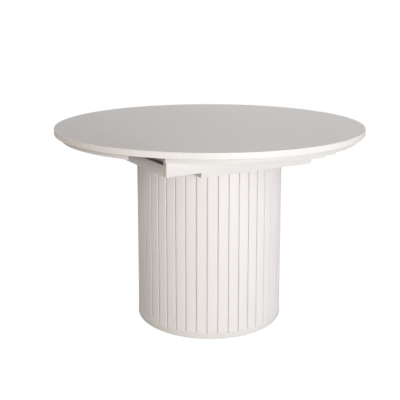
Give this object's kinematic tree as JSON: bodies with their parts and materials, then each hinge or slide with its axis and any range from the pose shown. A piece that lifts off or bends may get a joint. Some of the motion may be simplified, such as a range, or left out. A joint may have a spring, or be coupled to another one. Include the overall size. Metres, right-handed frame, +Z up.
{
  "type": "extendable dining table",
  "caption": "Round extending dining table: two top halves slide apart on nested runners over a slatted drum pedestal with a stored folding leaf.",
  "frame": {"origin": "floor level, on the axis of the pedestal, centre of the closed top's footprint", "axes": "+Z up; X along the extension, left half slides towards -X and right half towards +X; the seam lies on X = 0; front is -Y"},
  "size_m": [1.2, 1.2, 0.765],
  "materials": {
    "top_paint": "matte warm off-white lacquer on board, fine even texture",
    "body_paint": "matte off-white paint on board, slightly eased edges",
    "raw_board": "pale sealed board, hidden inside",
    "beech": "turned beech dowel",
    "zinc_steel": "zinc-plated pressed steel",
    "felt": "dark grey pressed felt"
  },
  "bodies": {
    "base": {"frame_base_board": "raw_board", "frame_bolt_1": "zinc_steel", "frame_bolt_2": "zinc_steel", "frame_bolt_3": "zinc_steel", "frame_bolt_4": "zinc_steel", "frame_front_board": "body_paint", "frame_left_board": "body_paint", "frame_rear_board": "body_paint", "frame_right_board": "body_paint", "glide_1": "felt", "glide_2": "felt", "glide_3": "felt", "glide_4": "felt", "inner_runner_front": "zinc_steel", "inner_runner_rear": "zinc_steel", "leaf_hinge_left": "zinc_steel", "leaf_hinge_right": "zinc_steel", "leaf_lower_panel": "top_paint", "leaf_pivot_left": "zinc_steel", "leaf_pivot_right": "zinc_steel", "leaf_rest_left": "felt", "leaf_rest_right": "felt", "leaf_upper_panel": "top_paint", "pedestal_mid_disc": "raw_board", "pedestal_top_disc": "raw_board", "plinth": "body_paint", "slat_panel_1": "body_paint", "slat_panel_2": "body_paint", "slat_panel_3": "body_paint", "slat_panel_4": "body_paint", "slat_panel_5": "body_paint"},
    "left_half": {"front_seam_dowel": "beech", "latch_plate_front": "zinc_steel", "latch_plate_rear": "zinc_steel", "left_crossbar": "body_paint", "left_end_stiffener": "body_paint", "left_front_rail": "body_paint", "left_front_stiffener": "body_paint", "left_rear_rail": "body_paint", "left_rear_stiffener": "body_paint", "left_top_panel": "top_paint", "outer_slider_front": "zinc_steel", "outer_slider_rear": "zinc_steel", "rear_seam_dowel": "beech"},
    "right_half": {"inner_slider_front": "zinc_steel", "inner_slider_rear": "zinc_steel", "latch_catch_front": "zinc_steel", "latch_catch_rear": "zinc_steel", "outer_runner_front": "zinc_steel", "outer_runner_rear": "zinc_steel", "right_crossbar": "body_paint", "right_end_stiffener": "body_paint", "right_front_rail": "body_paint", "right_front_stiffener": "body_paint", "right_rear_rail": "body_paint", "right_rear_stiffener": "body_paint", "right_top_panel": "top_paint"},
    "front_latch": {"latch_lever_front": "zinc_steel"},
    "rear_latch": {"latch_lever_rear": "zinc_steel"}
  },
  "joints": [
    {"name": "left_top_slide", "type": "slide", "parent": "base", "child": "left_half", "axis": [-1, 0, 0], "range_m": [0, 0.2]},
    {"name": "right_top_slide", "type": "slide", "parent": "base", "child": "right_half", "axis": [1, 0, 0], "range_m": [0, 0.2]},
    {"name": "front_latch_turn", "type": "hinge", "parent": "left_half", "child": "front_latch", "pos_m": [-0.02, -0.44, 0.72], "axis": [0, 0, 1], "range_deg": [0, 90]},
    {"name": "rear_latch_turn", "type": "hinge", "parent": "left_half", "child": "rear_latch", "pos_m": [-0.02, 0.44, 0.72], "axis": [0, 0, -1], "range_deg": [0, 90]}
  ]
}
